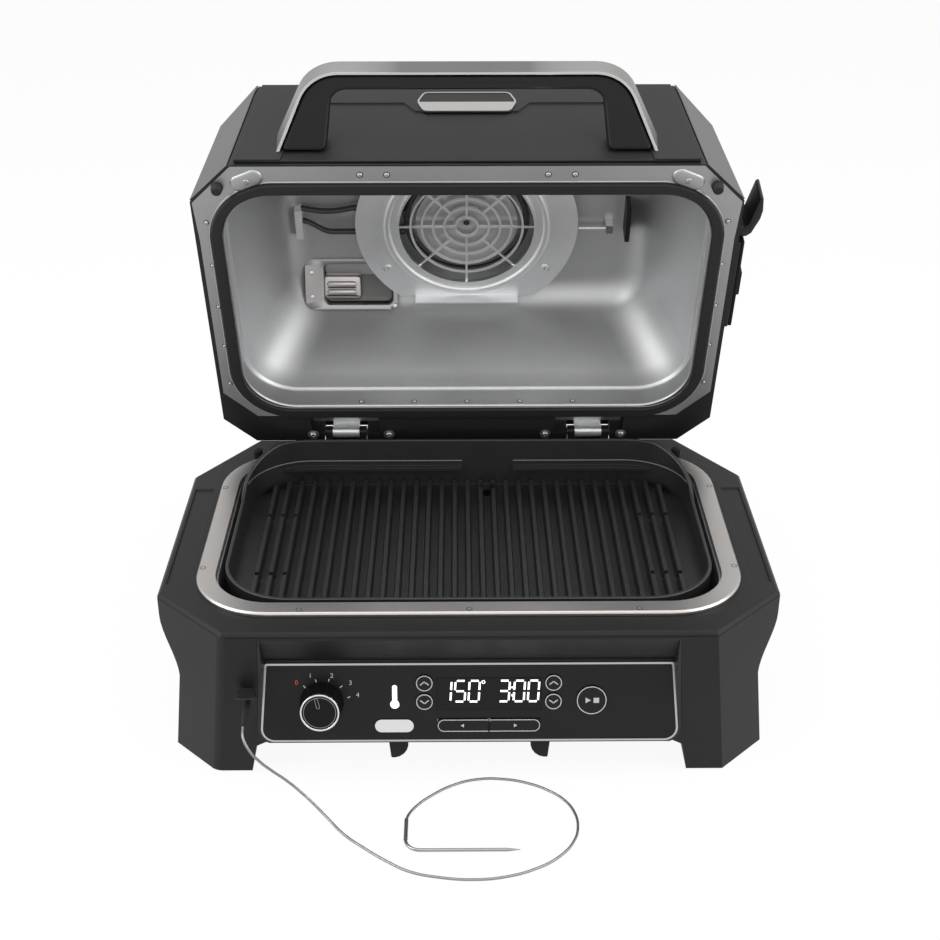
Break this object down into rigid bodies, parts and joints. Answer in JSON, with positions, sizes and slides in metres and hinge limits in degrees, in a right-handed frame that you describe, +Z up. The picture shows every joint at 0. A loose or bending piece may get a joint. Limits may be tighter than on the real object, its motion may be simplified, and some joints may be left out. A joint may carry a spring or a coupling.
{
  "type": "electric countertop grill",
  "caption": "Countertop electric grill with a ridged lift-out plate, hinged lid with fan and heater, dial and button panel, side smoke box and wired food probe.",
  "frame": {"origin": "on the floor, under the middle of the open grill as it stands", "axes": "+Z up, -Y towards the front with the control panel, +X to the right as seen from the front"},
  "size_m": [0.6, 0.6635, 0.6212],
  "materials": {
    "shell_black": "fine matt grain",
    "deck_black": "satin dark grey paint",
    "lid_black": "satin black paint",
    "front_grey": "dark grey paint",
    "facet_steel": "satin grey metal",
    "ring_steel": "brushed steel",
    "liner_steel": "drawn bright steel sheet",
    "inner_steel": "plain steel",
    "bright_steel": "bright metal",
    "plate_coat": "black non-stick coat on cast aluminium",
    "rubber_black": "black rubber",
    "grip_black": "black grip",
    "panel_gloss": "gloss black"
  },
  "bodies": {
    "base": {"base_shell": "shell_black", "feet": "rubber_black", "floor_pan": "inner_steel", "top_deck": "deck_black", "trim_ring": "ring_steel", "ring_screws": "bright_steel", "hearth_liner": "inner_steel", "plate_studs": "inner_steel", "panel_housing": "shell_black", "control_panel": "panel_gloss", "panel_trim": "ring_steel", "display_lens": "panel_gloss", "stand_hooks": "shell_black", "hinge_brackets": "lid_black", "hinge_pins": "bright_steel", "probe_jack": "grip_black", "power_inlet": "shell_black", "tray_guide": "shell_black", "rear_stops": "rubber_black", "probe_plug": "rubber_black", "probe_cable": "rubber_black", "probe_spike": "bright_steel"},
    "plate": {"grill_plate": "plate_coat"},
    "dial": {"dial_knob": "grip_black", "knob_ring": "ring_steel"},
    "flap": {"jack_flap": "rubber_black"},
    "tray": {"grease_tray": "plate_coat"},
    "lid": {"lid_shell": "lid_black", "lid_facets": "facet_steel", "lid_front": "front_grey", "badge": "facet_steel", "lid_frame": "liner_steel", "lid_liner": "liner_steel", "gasket": "rubber_black", "rim_screws": "bright_steel", "lid_bumpers": "rubber_black", "handle_grip": "grip_black", "handle_strap": "ring_steel", "hinge_leaves": "lid_black", "fan_guard": "liner_steel", "fan_motor": "inner_steel", "heating_element": "bright_steel", "element_bracket": "liner_steel", "temp_sensor": "bright_steel", "vent_bracket": "lid_black", "smoke_outlet": "liner_steel", "smoke_louvre": "liner_steel", "smoke_box": "lid_black", "side_hook": "grip_black", "corner_pads": "bright_steel"},
    "fan_wheel": {"fan": "inner_steel"},
    "smoke_flap": {"smoke_door": "grip_black"},
    "button_temp_up_cap": {"button_temp_up": "panel_gloss"},
    "button_temp_down_cap": {"button_temp_down": "panel_gloss"},
    "button_time_up_cap": {"button_time_up": "panel_gloss"},
    "button_time_down_cap": {"button_time_down": "panel_gloss"},
    "button_start_cap": {"button_start": "panel_gloss"},
    "button_flavour_cap": {"button_flavour": "ring_steel"},
    "button_mode_left_cap": {"button_mode_left": "panel_gloss"},
    "button_mode_right_cap": {"button_mode_right": "panel_gloss"}
  },
  "joints": [
    {"name": "lid_hinge", "type": "hinge", "parent": "base", "child": "lid", "pos_m": [0, 0.12445, 0.195], "axis": [1, 0, 0], "range_deg": [0, 72]},
    {"name": "plate_lift", "type": "slide", "parent": "base", "child": "plate", "axis": [0, 0, 1], "range_m": [0, 0.02]},
    {"name": "dial_turn", "type": "hinge", "parent": "base", "child": "dial", "pos_m": [-0.141, -0.241, 0.08803], "axis": [0, -0.9744, 0.225], "range_deg": [-96, 32]},
    {"name": "button_temp_up_press", "type": "slide", "parent": "base", "child": "button_temp_up_cap", "axis": [0, 0.9744, -0.225], "range_m": [0, 0.001], "stiffness_N_per_m": 900},
    {"name": "button_temp_down_press", "type": "slide", "parent": "base", "child": "button_temp_down_cap", "axis": [0, 0.9744, -0.225], "range_m": [0, 0.001], "stiffness_N_per_m": 900},
    {"name": "button_time_up_press", "type": "slide", "parent": "base", "child": "button_time_up_cap", "axis": [0, 0.9744, -0.225], "range_m": [0, 0.001], "stiffness_N_per_m": 900},
    {"name": "button_time_down_press", "type": "slide", "parent": "base", "child": "button_time_down_cap", "axis": [0, 0.9744, -0.225], "range_m": [0, 0.001], "stiffness_N_per_m": 900},
    {"name": "button_start_press", "type": "slide", "parent": "base", "child": "button_start_cap", "axis": [0, 0.9744, -0.225], "range_m": [0, 0.001], "stiffness_N_per_m": 900},
    {"name": "button_flavour_press", "type": "slide", "parent": "base", "child": "button_flavour_cap", "axis": [0, 0.9744, -0.225], "range_m": [0, 0.001], "stiffness_N_per_m": 900},
    {"name": "button_mode_left_press", "type": "slide", "parent": "base", "child": "button_mode_left_cap", "axis": [0, 0.9744, -0.225], "range_m": [0, 0.001], "stiffness_N_per_m": 900},
    {"name": "button_mode_right_press", "type": "slide", "parent": "base", "child": "button_mode_right_cap", "axis": [0, 0.9744, -0.225], "range_m": [0, 0.001], "stiffness_N_per_m": 900},
    {"name": "jack_flap_swing", "type": "hinge", "parent": "base", "child": "flap", "pos_m": [-0.21, -0.25083, 0.11], "axis": [-1, 0, 0], "range_deg": [-10, 70]},
    {"name": "tray_slide", "type": "slide", "parent": "base", "child": "tray", "axis": [0, 1, 0], "range_m": [0, 0.09]},
    {"name": "fan_spin", "type": "hinge", "parent": "lid", "child": "fan_wheel", "pos_m": [0, 0.18405, 0.42255], "axis": [0, 0.9511, 0.309], "continuous": true},
    {"name": "smoke_door_swing", "type": "hinge", "parent": "lid", "child": "smoke_flap", "pos_m": [0.283, 0.15582, 0.41233], "axis": [0, -0.309, 0.9511], "range_deg": [0, 60]}
  ]
}
